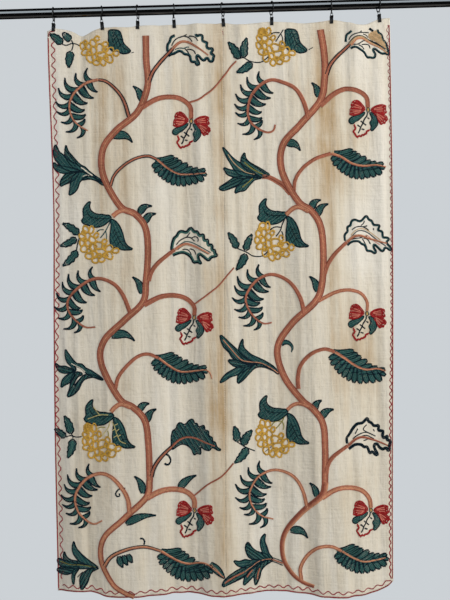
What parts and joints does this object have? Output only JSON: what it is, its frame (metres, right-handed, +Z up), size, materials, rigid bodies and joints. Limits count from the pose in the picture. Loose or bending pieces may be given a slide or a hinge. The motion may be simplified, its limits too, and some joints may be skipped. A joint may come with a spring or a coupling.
{
  "type": "crewel embroidery panel hung on a rod",
  "caption": "Cream cotton hanging worked with a scrolling vine in coloured wool, seamed down the middle and held by clip rings on a round black rod.",
  "frame": {"origin": "middle of the rod's axis", "axes": "+X right along the rod seen from the worked face, +Y back towards the wall, +Z up"},
  "size_m": [1.6, 0.0418, 1.7593],
  "materials": {
    "rod_black": "gloss black paint on steel tube",
    "ring_black": "black coated steel wire",
    "clip_black": "black coated sprung steel sheet",
    "cream_cloth": "unbleached cotton and linen cloth, softly stained, with matt wool stitching"
  },
  "bodies": {
    "root": {"rod": "rod_black", "ring_1": "ring_black", "ring_2": "ring_black", "ring_3": "ring_black", "ring_4": "ring_black", "ring_5": "ring_black", "ring_6": "ring_black", "ring_7": "ring_black", "ring_8": "ring_black", "bail_1": "ring_black", "bail_2": "ring_black", "bail_3": "ring_black", "bail_4": "ring_black", "bail_5": "ring_black", "bail_6": "ring_black", "bail_7": "ring_black", "bail_8": "ring_black", "jaw_front_1": "clip_black", "jaw_front_2": "clip_black", "jaw_front_3": "clip_black", "jaw_front_4": "clip_black", "jaw_front_5": "clip_black", "jaw_front_6": "clip_black", "jaw_front_7": "clip_black", "jaw_front_8": "clip_black", "jaw_back_1": "clip_black", "jaw_back_2": "clip_black", "jaw_back_3": "clip_black", "jaw_back_4": "clip_black", "jaw_back_5": "clip_black", "jaw_back_6": "clip_black", "jaw_back_7": "clip_black", "jaw_back_8": "clip_black", "breadth_left": "cream_cloth", "breadth_right": "cream_cloth"}
  },
  "joints": []
}
